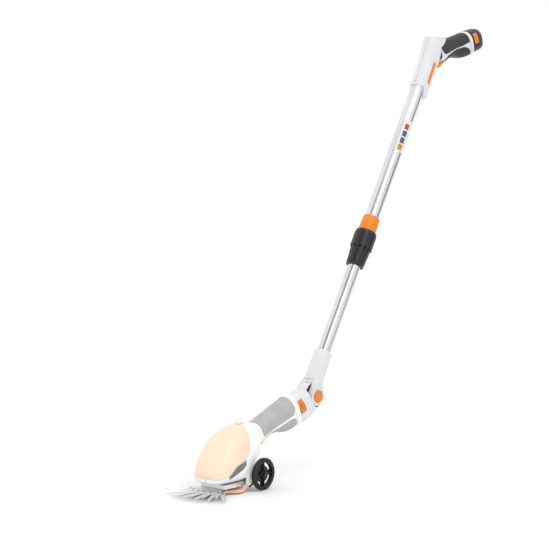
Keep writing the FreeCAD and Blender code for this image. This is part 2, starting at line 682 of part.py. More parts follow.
def pole():
    lower, upper, wall = dim("lower_tube_radius"), dim("upper_tube_radius"), dim("tube_wall")
    tube("lower_tube", lower, lower - wall, dim("knuckle_radius") + 6.5, dim("lower_tube_end"), POLE)
    tube("upper_tube", upper, upper - wall, dim("upper_tube_start"), dim("upper_tube_end"), POLE)
    collet_start = dim("sleeve_start") + 3
    tube("clamp_collet", upper - 0.05, lower + dim("bore_gap"), collet_start, dim("upper_tube_start"), POLE)
    start, end, bore = dim("sleeve_start"), dim("sleeve_end"), upper + dim("bore_gap")
    middle = (float(start) + float(end)) / 2
    turned("clamp_sleeve_form", [
        (bore, start), (17.4, start), (18.4, start + 1.2), (20.4, middle - 3), (20.4, middle - 0.6),
        (22.9, middle + 1.4), (22.9, end - 7), (21.6, end - 1.2), (20.2, end - 0.4), (bore, end - 0.4)], POLE)
    flutes = [cylinder(f"sleeve_flute_{n}", 2.2, 44, POLE * turn(Z_AXIS, 30 * n) * shift(0, 21.7, middle - 21)
                       * turn(X_AXIS, 3)) for n in range(12)]
    cut("clamp_sleeve", doc.getObject("clamp_sleeve_form"), *flutes)
    turned("clamp_ring", [(upper, end), (17.7, end), (17.7, dim("ring_end") - 4), (17.1, dim("ring_end") - 1.4),
                          (15.9, dim("ring_end")), (upper, dim("ring_end"))], POLE)


def labels():
    """Plain instruction sticker, blank: a thin sheet bent round the upper tube."""
    upper = dim("upper_tube_radius")
    sheet_tube = tube("tube_label_wrap", upper + 0.15, upper, 545, 620, POLE)
    window = box("tube_label_window", (6, -40, 540), (40, 9, 630), POLE)
    common("tube_label", sheet_tube, window)


# ---------------------------------------------------------------- pole handle

HOUSING_SECTIONS = [
    # height along the pole, half width, front face, rear face
    (684, 17, -16, 26.5), (720, 17.1, -16.4, 25.5), (766, 17.4, -19.5, 25.5), (822, 17.8, -28.5, 24),
    (872, 18.2, -34, 23),
]


def housing_form(inset):
    rows = [(s, w - inset, front + inset, rear - inset) for s, w, front, rear in HOUSING_SECTIONS]
    below_cap = block((-200, -2000, -2000), (200, 2000, float(dim("cap_height")) - inset))
    return loft(rows, POLE, along_z=True).common(below_cap)


def handle_casing():
    wall, depth, proud = (float(dim(name)) for name in ("wall", "grip_depth", "grip_proud"))
    length, height = float(dim("handle_length")), float(dim("handle_height"))
    tip = -31
    shell_form = housing_form(0)
    handle = handle_form(0, HANDLE_BELLY, height, HANDLE)
    collar_zone = prism([(length - 10, 20), (length, 20), (length, -90), (length - 10, -90)], 60, HANDLE)
    collar = handle_form(-1.2, HANDLE_BELLY, height, HANDLE).common(collar_zone)
    above_tube_exit = block((-100, -200, 716), (100, 200, 1200), POLE)
    hollow = housing_form(wall).common(above_tube_exit)
    hollow = hollow.fuse(handle_form(wall, HANDLE_BELLY, height, HANDLE, end=3))
    upper = float(dim("upper_tube_radius"))
    shell = shell_form.fuse([handle, collar]).cut(hollow)
    tube_seat = Part.makeCylinder(upper + 2, 75, V(0, 0, 712)).transformed(POLE.Matrix)
    # the lower end: a round mouth over the tube in front, and a tongue left standing behind it
    exit_cut = prism([(-100, 600), (-100, 703), (-4, 703), (4, 687), (22, 691), (60, 700), (60, 600)], 100, POLE)
    posts = [(POLE * shift(0, 20.5, 728), 13), (POLE * shift(0, 20.5, 765), 13), (POLE * shift(0, -12, 795), 15)]
    shell = shell.fuse([tube_seat] + screw_posts(posts, shell_form))
    upper_view = [(-22, 8), (88, 8), (88, -15), (84, -19), (74, -20.5), (55, -22.5), (31, -22.5), (-12, -25.5),
                  (-18, -23), (-23.5, -14)]
    lower_view = [(-16, -37), (-5, -30.5), (12, -27.5), (31, -25), (58, -26.5), (70, -31), (76, -37), (78, -43),
                  (76, -60), (-16, -60)]
    skin = handle_form(-proud, HANDLE_BELLY, height, HANDLE).cut(handle_form(depth, HANDLE_BELLY, height, HANDLE))
    skin = skin.cut(shell_form)
    grip_upper = skin.common(prism(upper_view, 60, HANDLE))
    pin = rod(2, PIN_LENGTH, HANDLE * shift(0, tip + 37, PIN_LEVEL))
    grip_lower = skin.common(prism(lower_view, 60, HANDLE)).cut([trigger_room(tip, HANDLE), pin])
    feature("handle_grip_upper", grip_upper)
    feature("handle_grip_lower", grip_lower)
    feature("handle_screws", Part.makeCompound([screw(*post) for post in posts]))
    bores = [screw_bore(*post) for post in posts]
    # accent stripe let into the right flank
    stripe_view = prism([(1, 718), (10, 716), (7, 768), (-2, 766)], 60, POLE)
    right_side = block((0, -400, 0), (60, 1200, 1200))
    stripe = housing_form(-0.3).cut(housing_form(0.7)).common(stripe_view).common(right_side)
    feature("accent_stripe", stripe)
    tube_room = Part.makeCylinder(upper, 400, V(0, 0, 500)).transformed(POLE.Matrix)
    tube_room = tube_room.common(block((-50, -50, 400), (50, 50, float(dim("upper_tube_end"))), POLE))
    shell = shell.cut([exit_cut, grip_upper, grip_lower, stripe, tube_room, trigger_room(tip, HANDLE), pin]
                      + bores)
    halves("handle_housing", shell)
    trigger("handle_trigger", tip, HANDLE)
    box("handle_switch", (-7, -20, -22), (7, 2, -9), HANDLE)
    box("control_board", (-7, -18.4, 792), (7, -17, 813), POLE)


def battery():
    length = float(dim("handle_length"))
    cap = float(dim("battery_cap"))
    rows = [(length + 0.4, 20.6, -48, 0.4), (length + 8, 21, -48.5, 0.8), (length + cap - 11, 20.5, -47.5, -0.8),
            (length + cap - 3, 18, -44.5, -4.5), (length + cap, 12.5, -38, -12)]
    shape = loft(rows, HANDLE)
    stick = loft([(26, 14, -32.6, -4.4), (length + 3, 14, -32.6, -4.4)], HANDLE)
    shape = shape.fuse(stick)
    low, high = (length + 8, -29), (length + 22, -7)
    room = [block((side * 20 - 7, low[0] - 0.4, low[1] - 0.4), (side * 20 + 7, high[0] + 0.4, high[1] + 0.4),
                  HANDLE) for side in (-1, 1)]
    feature("battery", shape.cut(room))
    bound = loft([(y, w + 1.4, a, b) for y, w, a, b in rows[:3]], HANDLE)
    for side, name in ((-1, "battery_latch_left"), (1, "battery_latch_right")):
        near, far = (15.5, 40) if side > 0 else (-40, -15.5)
        feature(name, bound.common(block((near, *low), (far, *high), HANDLE)))
    contacts = [block((x - 1.5, 22.5, -22), (x + 1.5, 26, -14), HANDLE) for x in (-8, 0, 8)]
    feature("battery_contacts", Part.makeCompound(contacts))


# ---------------------------------------------------------------- assembly

NODES = [
    "wheel_left", "wheel_right", "axle", "axle_caps", "axle_bracket",
    "lower_blade", "upper_blade", "blade_pivot", "sole_plate", "gear_plate",
    "drive_gear", "gear_axle", "motor_pinion", "motor",
    "shears_housing_left", "shears_housing_right", "shears_cover", "lock_slider",
    "shears_grip_upper", "shears_grip_lower", "badge_left", "badge_right", "shears_screws",
    "shears_trigger", "shears_trigger_pin", "shears_switch",
    "adapter_body", "adapter_latch_left", "adapter_latch_right",
    "joint_pin", "socket_left", "socket_right", "tilt_button_left", "tilt_button_right",
    "lower_tube", "upper_tube", "clamp_collet", "clamp_sleeve", "clamp_ring", "tube_label",
    "handle_housing_left", "handle_housing_right", "handle_grip_upper", "handle_grip_lower",
    "accent_stripe", "handle_screws",
    "handle_trigger", "handle_trigger_pin", "handle_switch", "control_board",
    "battery", "battery_latch_left", "battery_latch_right", "battery_contacts",
]


def build():
    wheels()
    axle_and_caps()
    combs()
    sole()
    gear_y = drive_train()
    shears_casing(gear_y)
    axle_bracket()
    adapter()
    tilting_joint()
    pole()
    labels()
    handle_casing()
    battery()
    doc.recompute()


def check_and_write():
    for item in doc.Objects:
        if {"Invalid", "Error"} & set(item.State):
            raise RuntimeError(f"{item.Label} failed: {item.State}")
    os.makedirs("parts", exist_ok=True)
    for name in NODES:
        shape = doc.getObject(name).Shape
        if shape.isNull() or not shape.isValid() or not shape.Solids:
            raise RuntimeError(f"{name} has no valid solid")
    for name in NODES:
        doc.getObject(name).Shape.exportStep(f"parts/{name}.step")


build()
check_and_write()
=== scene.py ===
import json
import math

import bmesh
import bpy
from mathutils import Matrix, Vector


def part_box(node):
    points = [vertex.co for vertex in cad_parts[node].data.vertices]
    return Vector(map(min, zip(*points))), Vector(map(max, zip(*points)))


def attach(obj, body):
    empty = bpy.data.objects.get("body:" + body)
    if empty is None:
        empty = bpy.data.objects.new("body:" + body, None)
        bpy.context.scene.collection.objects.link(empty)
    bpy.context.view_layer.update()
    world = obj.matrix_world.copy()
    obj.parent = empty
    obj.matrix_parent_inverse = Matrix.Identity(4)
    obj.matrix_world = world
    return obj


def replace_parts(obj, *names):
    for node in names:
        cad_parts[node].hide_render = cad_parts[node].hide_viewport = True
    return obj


# Wheeled, telescopic grass shears: the visible pieces, materials and studio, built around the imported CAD
# frame.  Blender's unit is the metre; profiles and sizes are written in millimetres and scaled by MM.

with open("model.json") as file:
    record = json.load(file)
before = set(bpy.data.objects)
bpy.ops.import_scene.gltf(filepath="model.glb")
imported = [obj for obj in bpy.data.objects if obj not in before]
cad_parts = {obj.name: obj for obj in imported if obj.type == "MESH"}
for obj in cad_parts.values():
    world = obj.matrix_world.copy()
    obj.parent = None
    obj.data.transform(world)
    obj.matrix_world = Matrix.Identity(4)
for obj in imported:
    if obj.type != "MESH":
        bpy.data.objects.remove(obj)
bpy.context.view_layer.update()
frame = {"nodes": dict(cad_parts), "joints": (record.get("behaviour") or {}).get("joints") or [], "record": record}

MM = 0.001


# ---------------------------------------------------------------- frames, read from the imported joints

JOINTS = {joint["name"]: joint for joint in frame["joints"]}
X_AXIS = Vector((1, 0, 0))


def sloped(origin, along):
    """A frame whose Z runs along the given direction in the middle plane, X across, Y square to both."""
    z = Vector(along).normalized()
    y = z.cross(X_AXIS)
    columns = (X_AXIS, y, z, Vector(origin))
    return Matrix([[column[row] for column in columns] for row in range(3)] + [[0, 0, 0, 1]])


def sideways(origin):
    """A frame whose Z runs along +X, for things turned about a crosswise axis."""
    return Matrix.Translation(Vector(origin)) @ Matrix.Rotation(math.pi / 2, 4, "Y")


def middle(node):
    """Centre of a CAD node's box."""
    low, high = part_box(node)
    return (low + high) / 2


POLE_DIR = Vector(JOINTS["pole_extend"]["axis"]).normalized()
HINGE = Vector(JOINTS["pole_tilt"]["pos_m"])
WHEEL_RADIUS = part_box("wheel_right")[1].z / 2
BLADE_PIVOT = Vector(JOINTS["blade_swing"]["pos_m"])
POLE_OFFSET = 5 * MM                     # the tubes' axis passes this far in front of the hinge
POLE = sloped(HINGE, POLE_DIR) @ Matrix.Translation((0, -POLE_OFFSET, 0))
POLE_LEAN = math.atan2(POLE_DIR.y, POLE_DIR.z)
HANDLE_DIR = Vector(JOINTS["battery_slide"]["axis"]).normalized()
GRIP_SLOPE = math.radians(21.3)          # the shears' own handle rises this much towards the rear
GRIP_DIR = Vector((0, math.cos(GRIP_SLOPE), math.sin(GRIP_SLOPE)))


# ---------------------------------------------------------------- materials

class Paint:
    """A node material under construction: keeps the tree and makes linked nodes in one call.

    lie turns the pattern about X, so that its Z runs along a sloping part.
    """

    def __init__(self, name, color, roughness, lie=None):
        self.material = bpy.data.materials.new(name)
        self.material.use_nodes = True
        self.tree = self.material.node_tree
        self.shader = self.tree.nodes["Principled BSDF"]
        self.shader.inputs["Base Color"].default_value = (*color, 1)
        self.shader.inputs["Roughness"].default_value = roughness
        self.place = self.node("ShaderNodeTexCoord").outputs["Object"]
        if lie is not None:
            mapping = self.node("ShaderNodeMapping")
            mapping.inputs["Rotation"].default_value = (lie, 0, 0)
            self.link(self.place, mapping.inputs["Vector"])
            self.place = mapping.outputs["Vector"]

    def node(self, kind):
        return self.tree.nodes.new(kind)

    def link(self, source, target):
        self.tree.links.new(source, target)

    def set(self, **values):
        for name, value in values.items():
            self.shader.inputs[name.replace("_", " ")].default_value = value
        return self

    def noise(self, scale, detail=3, stretch=None):
        node = self.node("ShaderNodeTexNoise")
        node.inputs["Scale"].default_value = scale
        node.inputs["Detail"].default_value = detail
        place = self.place
        if stretch:
            mapping = self.node("ShaderNodeMapping")
            mapping.inputs["Scale"].default_value = stretch
            self.link(place, mapping.inputs["Vector"])
            place = mapping.outputs["Vector"]
        self.link(place, node.inputs["Vector"])
        return node.outputs["Fac"]

    def cells(self, scale):
        node = self.node("ShaderNodeTexVoronoi")
        node.inputs["Scale"].default_value = scale
        self.link(self.place, node.inputs["Vector"])
        return node.outputs["Distance"]

    def color_between(self, source, low, high, start=0.3, end=0.7):
        node = self.node("ShaderNodeValToRGB")
        for element, position, color in zip(node.color_ramp.elements, (start, end), (low, high)):
            element.position = position
            element.color = (*color, 1)
        self.link(source, node.inputs["Fac"])
        self.link(node.outputs["Color"], self.shader.inputs["Base Color"])

    def bump(self, source, strength, distance):
        node = self.node("ShaderNodeBump")
        node.inputs["Strength"].default_value = strength
        node.inputs["Distance"].default_value = distance
        previous = self.shader.inputs["Normal"].links
        if previous:
            self.link(previous[0].from_socket, node.inputs["Normal"])
        self.link(source, node.inputs["Height"])
        self.link(node.outputs["Normal"], self.shader.inputs["Normal"])

    def rough_between(self, source, low, high):
        node = self.node("ShaderNodeMapRange")
        node.inputs["To Min"].default_value = low
        node.inputs["To Max"].default_value = high
        self.link(source, node.inputs["Value"])
        self.link(node.outputs["Result"], self.shader.inputs["Roughness"])


def tinted(color, factor):
    return tuple(min(1, max(0, channel * factor)) for channel in color)


def plastic(name, color, roughness=0.4, grain=900, depth=0.04 * MM, spread=0.04, coat=0.0):
    """Moulded plastic: faint cloudiness in the colour, fine grain, rubbed patches in the gloss."""
    paint = Paint(name, color, roughness).set(Coat_Weight=coat)
    paint.color_between(paint.noise(14, 5), tinted(color, 1 - spread), tinted(color, 1 + spread))
    paint.bump(paint.noise(grain, 2), 0.35, depth)
    paint.rough_between(paint.noise(45, 6), roughness - 0.08, roughness + 0.1)
    return paint.material


def soft_grip(name, color):
    """Soft overmoulded rubber: a close pebbled skin, a little sheen, paler where it is rubbed."""
    paint = Paint(name, color, 0.7).set(Sheen_Weight=0.15)
    paint.color_between(paint.noise(30, 6), tinted(color, 0.88), tinted(color, 1.12))
    paint.bump(paint.cells(750), 0.6, 0.25 * MM)
    paint.rough_between(paint.noise(80, 4), 0.6, 0.82)
    return paint.material


def metal(name, color, roughness, lie=0.0, lines=(900, 900, 6), coarse=0.06):
    """Drawn or ground metal: fine lines, cloudy oxide in the colour, scuffs in the gloss."""
    paint = Paint(name, color, roughness, lie).set(Metallic=1.0)
    paint.color_between(paint.noise(9, 5), tinted(color, 0.93), tinted(color, 1.05))
    paint.bump(paint.noise(1, 3, lines), 0.12, 0.02 * MM)
    paint.rough_between(paint.noise(1, 4, (60, 60, 12)), roughness - coarse, roughness + coarse)
    return paint.material


WHITE, GREY = (0.88, 0.88, 0.875), (0.70, 0.705, 0.72)
ORANGE, PEACH, SALMON = (0.76, 0.225, 0.006), (0.93, 0.70, 0.52), (0.86, 0.50, 0.36)
MATERIALS = {
    "white_plastic": plastic("white_casing", WHITE, 0.36),
    "peach_plastic": plastic("peach_cover", PEACH, 0.26, grain=1200, depth=0.015 * MM, coat=0.35),
    "pale_grip": soft_grip("pale_soft_grip", (0.42, 0.415, 0.405)),
    "dark_grip": soft_grip("dark_soft_grip", (0.010, 0.010, 0.011)),
    "grey_plastic": plastic("light_grey_casing", GREY, 0.4),
    "orange_plastic": plastic("orange_parts", ORANGE, 0.33),
    "black_plastic": plastic("black_textured_parts", (0.007, 0.007, 0.008), 0.3, grain=1400,
                             depth=0.08 * MM),
    "tyre": plastic("wheel_rubber", (0.006, 0.006, 0.0065), 0.5, grain=700, depth=0.1 * MM, spread=0.2),
    "tube_aluminium": metal("anodised_tube", (0.72, 0.72, 0.74), 0.24, POLE_LEAN),
    "plate_aluminium": metal("machined_plate", (0.78, 0.78, 0.79), 0.42),
    "blade_steel": metal("ground_blade_steel", (0.80, 0.80, 0.81), 0.42, math.pi / 2, (700, 40, 700), 0.1),
    "steel": metal("bright_steel", (0.55, 0.55, 0.56), 0.25),
    "nylon": plastic("natural_nylon", (0.75, 0.73, 0.66), 0.5),
    "brass": metal("plated_brass", (0.75, 0.55, 0.25), 0.28),
    "label": plastic("printed_film", (0.74, 0.74, 0.74), 0.35),
    "badge": plastic("dark_badge", (0.16, 0.14, 0.17), 0.22, coat=0.4),
    "board": plastic("circuit_board", (0.03, 0.12, 0.05), 0.4),
}
SEAM_GREY = plastic("seam_shadow_grey", (0.30, 0.29, 0.28), 0.8)
SEAM_DARK = plastic("seam_shadow_dark", (0.03, 0.03, 0.03), 0.8)
# Paler salmon copy of the orange plastic for the orange sole plate: painted light, its washed-out look baked into
# the colour
PAINTED_LIT_SOLE = plastic("painted_lit_sole", SALMON, 0.45, spread=0.08)

for row in frame["record"]["subparts"]:
    node = frame["nodes"][row["node"]]
    node.data.materials.clear()
    # the sole plate takes the paler copy of the orange plastic, which is painted light
    own = PAINTED_LIT_SOLE if row["node"] == "sole_plate" else MATERIALS[row["material_slot"]]
    node.data.materials.append(own)


# ---------------------------------------------------------------- making pieces

def settle(name, shape, material, body, smooth=40):
    """Turn a finished bmesh into a piece that rides on its body; edges sharper than smooth stay sharp."""
    mesh = bpy.data.meshes.new(name)
    bmesh.ops.recalc_face_normals(shape, faces=shape.faces)
    shape.to_mesh(mesh)
    shape.free()
    mesh.materials.append(material)
    for face in mesh.polygons:
        face.use_smooth = True
    piece = bpy.data.objects.new(name, mesh)
    bpy.context.scene.collection.objects.link(piece)
    mesh.set_sharp_from_angle(angle=math.radians(smooth))
    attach(piece, body)
    return piece


def skin(shape, rings, closed_along=False):
    """Faces between rings of the same number of points, with both ends capped unless they meet."""
    rows = [[shape.verts.new(point) for point in ring] for ring in rings]
    following = rows[1:] + rows[:1] if closed_along else rows[1:]
    for first, second in zip(rows, following):
        count = len(first)
        for k in range(count):
            shape.faces.new((first[k], first[(k + 1) % count], second[(k + 1) % count], second[k]))
    if not closed_along:
        shape.faces.new(rows[0])
        shape.faces.new(rows[-1])


def lathe(shape, profile, place, steps=64, wave=None):
    """Revolve a closed (radius, height) profile, in mm, about the frame's Z.

    wave(radius, step) may change a radius from step to step.
    """
    rings = []
    for step in range(steps):
        angle = 2 * math.pi * step / steps
        ring = []
        for radius, height in profile:
            r = wave(radius, step) if wave else radius
            ring.append(place @ (Vector((r * math.cos(angle), r * math.sin(angle), height)) * MM))
        rings.append(ring)
    skin(shape, rings, closed_along=True)


def merge(shape, other):
    """Move a second bmesh into the first."""
    mesh = bpy.data.meshes.new("merged")
    other.to_mesh(mesh)
    other.free()
    shape.from_mesh(mesh)
    bpy.data.meshes.remove(mesh)


def bar(shape, size, place, bevel=0.25):
    """Small moulded bar with rounded edges, sized in mm and centred on its frame."""
    box = bmesh.new()
    bmesh.ops.create_cube(box, size=1)
    for vert in box.verts:
        vert.co = Vector([c * s * MM for c, s in zip(vert.co, size)])
    bmesh.ops.bevel(box, geom=box.edges[:], offset=bevel * MM, segments=2, affect="EDGES", profile=0.6)
    box.transform(place)
    merge(shape, box)


def outer_edges(node, axis_from, axis_to, least_angle=32, wanted=lambda a, b: True):
    """Sharp edges of a CAD node that lie on its outside, seen from an axis inside the casing."""
    shape = bmesh.new()
    shape.from_mesh(frame["nodes"][node].data)
    bmesh.ops.remove_doubles(shape, verts=shape.verts, dist=1e-6)
    along = axis_to - axis_from
    found = []
    for edge in shape.edges:
        if len(edge.link_faces) != 2 or edge.calc_face_angle(0) < math.radians(least_angle):
            continue
        a, b = (vert.co.copy() for vert in edge.verts)
        centre = (a + b) / 2
        share = min(1, max(0, (centre - axis_from).dot(along) / along.length_squared))
        outward = (centre - axis_from - along * share).normalized()
        facing = max((face.normal.dot(outward) for face in edge.link_faces), key=abs)
        if facing > 0.35 and wanted(a, b):
            found.append((a, b))
    shape.free()
    return found


def seam(name, edges, material, body, width=0.35):
    """Parting line: a thin round cord half sunk along the given edges."""
    curve = bpy.data.curves.new(name, "CURVE")
    curve.dimensions = "3D"
    curve.bevel_depth = width * MM
    curve.bevel_resolution = 1
    for a, b in edges:
        line = curve.splines.new("POLY")
        line.points.add(1)
        line.points[0].co = (*a, 1)
        line.points[1].co = (*b, 1)
    curve.materials.append(material)
    piece = bpy.data.objects.new(name, curve)
    bpy.context.scene.collection.objects.link(piece)
    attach(piece, body)
    return piece


# ---------------------------------------------------------------- wheels

def wheel_disc(place, outer):
    """Disc between hub and tyre: a ring of cells, with four arc slots left open."""
    steps, half_thick, slot_half_sweep = 96, 1.4, 30
    radii = (7.3, 15.8, 21.8, outer)                 # hub, both sides of the slots, tyre
    disc = bmesh.new()
    turns = [2 * math.pi * k / steps for k in range(steps)]
    grid = [[disc.verts.new(place @ (Vector((r * math.cos(a), r * math.sin(a), -half_thick)) * MM))
             for r in radii] for a in turns]
    for k in range(steps):
        in_slot = abs((360 * (k + 0.5) / steps) % 90 - 45) < slot_half_sweep
        near, far = grid[k], grid[(k + 1) % steps]
        for band in range(len(radii) - 1):
            if band != 1 or not in_slot:
                disc.faces.new((near[band], near[band + 1], far[band + 1], far[band]))
    bmesh.ops.recalc_face_normals(disc, faces=disc.faces)
    bmesh.ops.solidify(disc, geom=disc.faces[:], thickness=2 * half_thick * MM)
    return disc


def wheel(side, name):
    """Tyre with cross grooves, slotted disc with rib spokes, and a stepped hub."""
    centre = middle(name)
    place = sideways(centre) if side > 0 else sideways(centre) @ Matrix.Rotation(math.pi, 4, "X")
    rim, half = WHEEL_RADIUS / MM, 4.4
    tyre = [(rim - 7.6, -half + 0.5), (rim - 6.8, -half), (rim - 4.6, -half + 0.2),
            (rim - 4.2, -half + 0.8), (rim - 3.7, -half + 0.1), (rim - 1.6, -half + 0.8),
            (rim - 0.5, -half + 2), (rim, -2.4)]
    tyre += [(r, -z) for r, z in reversed(tyre)] + [(rim - 8.1, 2.6), (rim - 8.1, -2.6)]
    shape = bmesh.new()
    lathe(shape, tyre, place, 144, lambda r, step: r - 0.7 if r > rim - 1 and step % 3 == 0 else r)
    hub = [(3.3, -half), (6.4, -half), (7, -half + 0.7), (7.6, -2)]
    lathe(shape, hub + [(r, -z) for r, z in reversed(hub)], place, 48)
    for height in (-half + 0.2, half - 0.2):
        lip = [(4.4, height - 0.2), (5.2, height - 0.2), (5.2, height + 0.2), (4.4, height + 0.2)]
        lathe(shape, lip, place, 48)
    merge(shape, wheel_disc(place, rim - 7.8))
    for k in range(4):
        arm = place @ Matrix.Rotation(k * math.pi / 2, 4, "Z")
        for face in (-1, 1):
            bar(shape, (15, 2.2, 2.2), arm @ Matrix.Translation((14.6 * MM, 0, face * 1.5 * MM)), 0.5)
    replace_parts(settle(name + "_wheel", shape, MATERIALS["tyre"], name), name)


wheel(-1, "wheel_left")
wheel(1, "wheel_right")


# ---------------------------------------------------------------- combs

COMB_PITCH = 14.2                        # degrees between fingers
COMB_ROOT, COMB_BACK = 62, 15            # radii of the fan's front and back edges


def comb(node, body, fingers, reach, root_half, tip_half, tail=0):
    """Comb with hollow-ground fingers: flat below, bevelled to both cutting edges above.

    A tail above zero draws the back of the fan out that far to the rear, over the drive gear.
    """
    low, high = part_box(node)
    thick = (high.z - low.z) / MM
    place = Matrix.Translation((0, BLADE_PIVOT.y, low.z))
    shape = bmesh.new()
    spread = math.radians(COMB_PITCH * (fingers - 1) + 8)
    count = 40
    front_turns = [-spread / 2 + spread * k / count for k in range(count + 1)]
    back_turns = [spread / 2 + (2 * math.pi - spread) * k / count for k in range(1, count)]
    front = [(COMB_ROOT * math.sin(a), -COMB_ROOT * math.cos(a)) for a in front_turns]
    back = [(COMB_BACK * math.sin(a), -COMB_BACK * math.cos(a)) for a in back_turns]
    if tail:
        back = [(x, y) if abs(x) > 9 or y < 0 else (x, tail) for x, y in back]
    skin(shape, [[place @ Vector((x * MM, y * MM, z * MM)) for x, y in front + back] for z in (0, thick)])
    stations = [                         # distance out, half width, share of it that is flat on top
        (COMB_ROOT - 6, root_half, 0.35),
        (COMB_ROOT + 4, root_half, 0.5),
        (reach - 14, tip_half * 1.35, 0.55),
        (reach - 4, tip_half * 0.9, 0.5),
        (reach, tip_half * 0.3, 0.4),
    ]
    for k in range(fingers):
        finger = place @ Matrix.Rotation(math.radians(COMB_PITCH * (k - (fingers - 1) / 2)), 4, "Z")
        rings = []
        for along, half, crown in stations:
            edge, top = thick * 0.25, thick * (0.45 if along == reach else 1)
            ring = [(-half, 0), (half, 0), (half, edge), (half * crown, top), (-half * crown, top),
                    (-half, edge)]
            rings.append([finger @ Vector((x * MM, -along * MM, z * MM)) for x, z in ring])
        skin(shape, rings)
    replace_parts(settle(node + "_comb", shape, MATERIALS["blade_steel"], body, 25), node)


comb("lower_blade", "head", fingers=7, reach=107, root_half=4.6, tip_half=2.2)
comb("upper_blade", "blade", fingers=6, reach=103, root_half=4.2, tip_half=1.8, tail=40)


# ---------------------------------------------------------------- buttons, latches and triggers

def domed_button(node, side):
    """Round push button: rounded rim, a shallow ring groove and a raised middle."""
    low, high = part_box(node)
    radius = (high.y - low.y) / 2 / MM
    inner, outer = (low.x, high.x) if side > 0 else (high.x, low.x)
    depth, base = (outer - inner) / MM, inner / MM
    profile = [
        (0.01, 0), (radius, 0), (radius, depth * 0.62), (radius - 0.5, depth * 0.82), (radius - 1.8, depth),
        (radius - 3.2, depth), (radius - 3.6, depth - side * 0.7), (radius - 4.4, depth - side * 0.7),
        (radius - 4.9, depth - side * 0.1), (radius * 0.3, depth), (0.01, depth),
    ]
    shape = bmesh.new()
    lathe(shape, [(r, base + z) for r, z in profile], sideways((0, HINGE.y, HINGE.z)), 64)
    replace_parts(settle(node + "_dome", shape, MATERIALS["orange_plastic"], node), node)


domed_button("tilt_button_left", -1)
domed_button("tilt_button_right", 1)


def latch_ridges(node, side, along, count=4):
    """Finger ridges across a latch, let a little into its face; along is the way its handle runs."""
    low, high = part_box(node)
    centre, face = middle(node), (high.x if side > 0 else low.x)
    place = sloped((face, centre.y, centre.z), along)
    shape = bmesh.new()
    span = 0.5 * (high.z - low.z) / MM
    for k in range(count):
        offset = (k - (count - 1) / 2) * span / count
        sunk = place @ Matrix.Translation((-side * 0.55 * MM, offset * MM, 0))
        bar(shape, (1.6, 1.1, 8.5), sunk, 0.4)
    settle(node + "_ridges", shape, MATERIALS["orange_plastic"], node)


for name, direction in (("adapter_latch", GRIP_DIR), ("battery_latch", HANDLE_DIR)):
    latch_ridges(name + "_left", -1, direction)
    latch_ridges(name + "_right", 1, direction)


# ---------------------------------------------------------------- seams between the shells

# lines inside each casing, from which its outside is told from its inside
HEAD_AXIS = (Vector((0, -0.095, 0.045)), Vector((0, 0.02, 0.085)))
GRIP_AXIS = (Vector((0, 0.0305, 0.094)), Vector((0, 0.135, 0.135)))
HANDLE_AXIS = (middle("battery") - HANDLE_DIR * 0.16, middle("battery"))
POLE_AXIS = (POLE @ Vector((0, 0, 0.69)), POLE @ Vector((0, 0, 0.83)))


def on_middle(a, b):
    """Whether an edge lies in the middle plane, where the casing's halves meet."""
    return abs(a.x) < 0.05 * MM and abs(b.x) < 0.05 * MM


for name, node, axis, material, body in (
    ("cover_seam", "shears_cover", HEAD_AXIS, SEAM_GREY, "head"),
    ("shears_grip_upper_seam", "shears_grip_upper", GRIP_AXIS, SEAM_GREY, "head"),
    ("shears_grip_lower_seam", "shears_grip_lower", GRIP_AXIS, SEAM_GREY, "head"),
    ("badge_right_seam", "badge_right", HEAD_AXIS, SEAM_GREY, "head"),
    ("badge_left_seam", "badge_left", HEAD_AXIS, SEAM_GREY, "head"),
    ("handle_grip_upper_seam", "handle_grip_upper", HANDLE_AXIS, SEAM_DARK, "upper_pole"),
    ("handle_grip_lower_seam", "handle_grip_lower", HANDLE_AXIS, SEAM_DARK, "upper_pole"),
):
    seam(name, outer_edges(node, *axis), material, body, 0.22)
for side, sign in (("left", -1), ("right", 1)):
    latch = "adapter_latch_" + side
    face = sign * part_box(latch)[max(sign, 0)].x - 2 * MM
    rim = outer_edges(latch, *GRIP_AXIS, wanted=lambda a, b: min(sign * a.x, sign * b.x) > face)
    seam("latch_recess_" + side, rim, SEAM_DARK, "head", 0.55)
for name, node, axis, body, width in (
    ("handle_middle_seam", "handle_housing_right", POLE_AXIS, "upper_pole", 0.3),
    ("shears_middle_seam", "shears_housing_right", HEAD_AXIS, "head", 0.25),
):
    seam(name, outer_edges(node, *axis, wanted=on_middle), SEAM_GREY, body, width)


# ---------------------------------------------------------------- socket, knuckle and clamp details

KNUCKLE_HALF, EAR_GAP = 10, 0.3
WASHER_RADIUS, WASHER_BORE = 26.6, 4.2


def dark_washers():
    """Rubber washers in the gaps between the knuckle and the socket's ears."""
    shape = bmesh.new()
    for side in (-1, 1):
        near, far = sorted((side * (KNUCKLE_HALF + 0.02), side * (KNUCKLE_HALF + EAR_GAP - 0.02)))
        washer = [(WASHER_BORE, near), (WASHER_RADIUS, near), (WASHER_RADIUS, far), (WASHER_BORE, far)]
        lathe(shape, washer, sideways((0, HINGE.y, HINGE.z)), 64)
    settle("knuckle_washers", shape, MATERIALS["black_plastic"], "head")


def skid_foot():
    """Small black feet of the axle bracket, in front of the wheels."""
    shape = bmesh.new()
    for side in (-1, 1):
        place = Matrix.Translation((side * 38.5 * MM, -24 * MM, 12.5 * MM)) @ Matrix.Rotation(0.5, 4, "X")
        bar(shape, (3, 12, 4), place, 1)
    settle("bracket_feet", shape, MATERIALS["black_plastic"], "head")


